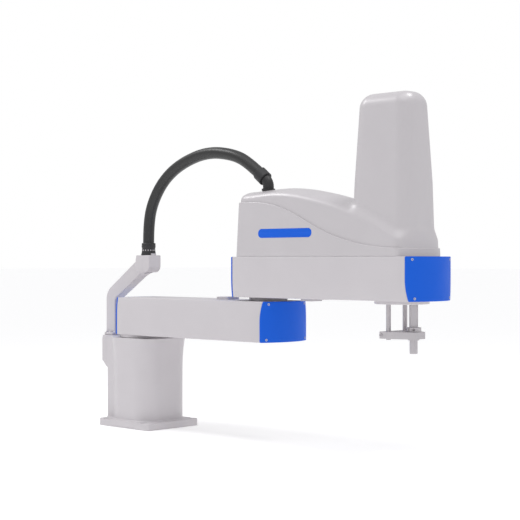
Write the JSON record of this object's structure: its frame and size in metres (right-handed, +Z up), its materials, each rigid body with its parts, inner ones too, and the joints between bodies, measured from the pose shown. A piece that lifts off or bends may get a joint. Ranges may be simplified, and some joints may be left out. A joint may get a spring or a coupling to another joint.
{
  "type": "scara robot arm",
  "caption": "Four-axis selective-compliance robot arm with a bolt-down base, two links, a covered drive tower, a hose loop over the first link and a lift-and-turn tool shaft.",
  "frame": {"origin": "on the J1 axis at the underside of the base, at the centre of the mounting hole pattern", "axes": "+X along both links at rest, +Z up"},
  "size_m": [1.263, 0.202, 0.915],
  "materials": {
    "grey_paint": "satin powder coat",
    "grey_cover": "satin moulded cover",
    "blue_cover": "satin",
    "black_plastic": "matt",
    "black_conduit": "matt",
    "belt_rubber": "matt",
    "motor_paint": "satin",
    "aluminium": "machined",
    "steel": "ground"
  },
  "bodies": {
    "base": {"base_casting": "grey_paint", "rear_housing": "grey_paint", "connector_panel": "aluminium", "power_connector": "black_plastic", "signal_connector": "black_plastic", "air_ports": "black_plastic", "j1_motor": "motor_paint", "j1_reducer": "steel", "conduit_bracket": "grey_paint", "bracket_screws": "steel", "base_fitting": "black_plastic"},
    "arm1": {"arm1_casting": "grey_paint", "arm1_rear_cover": "blue_cover", "arm1_front_cover": "blue_cover", "arm1_cover_screws": "steel", "j1_output_hub": "grey_paint", "j1_hub_screws": "steel", "arm1_stop_block": "grey_paint", "j2_hub": "grey_paint", "conduit": "black_conduit", "conduit_cuff": "black_plastic", "bent_pipe": "black_plastic"},
    "arm2": {"arm2_casting": "grey_paint", "arm2_rear_cover": "blue_cover", "arm2_front_cover": "blue_cover", "arm2_cover_screws": "steel", "j2_reducer": "steel", "j2_motor": "motor_paint", "arm2_stop_block": "aluminium", "arm2_floor_plate": "aluminium", "skirt_cover": "grey_cover", "top_cover": "grey_cover", "cover_ring": "black_plastic", "shaft_flange": "grey_paint", "guide_bushes": "steel", "spline_bearing": "steel", "j4_belt": "belt_rubber", "j4_motor": "motor_paint", "drive_frame": "aluminium", "ball_bearing": "steel", "j3_belt": "belt_rubber", "j3_motor": "motor_paint"},
    "lift": {"tie_plate": "aluminium", "tie_screws": "steel", "guide_rods": "steel"},
    "shaft": {"tool_shaft": "steel", "clamp_collar": "steel", "collar_screw": "steel", "retaining_ring": "steel", "upper_stop_collar": "steel"},
    "ball_nut": {"ball_nut": "aluminium"},
    "j3_motor_pulley": {"j3_motor_pulley": "aluminium"},
    "spline_nut": {"spline_nut": "aluminium"},
    "j4_motor_pulley": {"j4_motor_pulley": "aluminium"}
  },
  "joints": [
    {"name": "j1", "type": "hinge", "parent": "base", "child": "arm1", "pos_m": [0, 0, 0.27], "axis": [0, 0, 1], "range_deg": [-125, 125]},
    {"name": "j2", "type": "hinge", "parent": "arm1", "child": "arm2", "pos_m": [0.5, 0, 0.39], "axis": [0, 0, 1], "range_deg": [-145, 145]},
    {"name": "j3", "type": "slide", "parent": "arm2", "child": "lift", "axis": [0, 0, 1], "range_m": [-0.25, 0.05]},
    {"name": "j4", "type": "hinge", "parent": "lift", "child": "shaft", "pos_m": [1, 0, 0.3], "axis": [0, 0, 1], "range_deg": [-360, 360]},
    {"name": "ball_nut_turn", "type": "hinge", "parent": "arm2", "child": "ball_nut", "pos_m": [1, 0, 0.57], "axis": [0, 0, 1], "range_deg": [-3700, 800]},
    {"name": "j3_motor_turn", "type": "hinge", "parent": "arm2", "child": "j3_motor_pulley", "pos_m": [0.89, 0, 0.57], "axis": [0, 0, 1], "range_deg": [-6100, 1300]},
    {"name": "spline_nut_turn", "type": "hinge", "parent": "arm2", "child": "spline_nut", "pos_m": [1, 0, 0.42], "axis": [0, 0, 1], "range_deg": [-361, 361]},
    {"name": "j4_motor_turn", "type": "hinge", "parent": "arm2", "child": "j4_motor_pulley", "pos_m": [0.8, 0, 0.42], "axis": [0, 0, 1], "range_deg": [-601, 601]}
  ],
  "couplings": [
    {"joint": "ball_nut_turn", "follows": "j3", "rad_per_m": 251.33},
    {"joint": "j3_motor_turn", "follows": "j3", "rad_per_m": 418.88},
    {"joint": "spline_nut_turn", "follows": "j4", "ratio": 1},
    {"joint": "j4_motor_turn", "follows": "j4", "ratio": 1.6667}
  ]
}
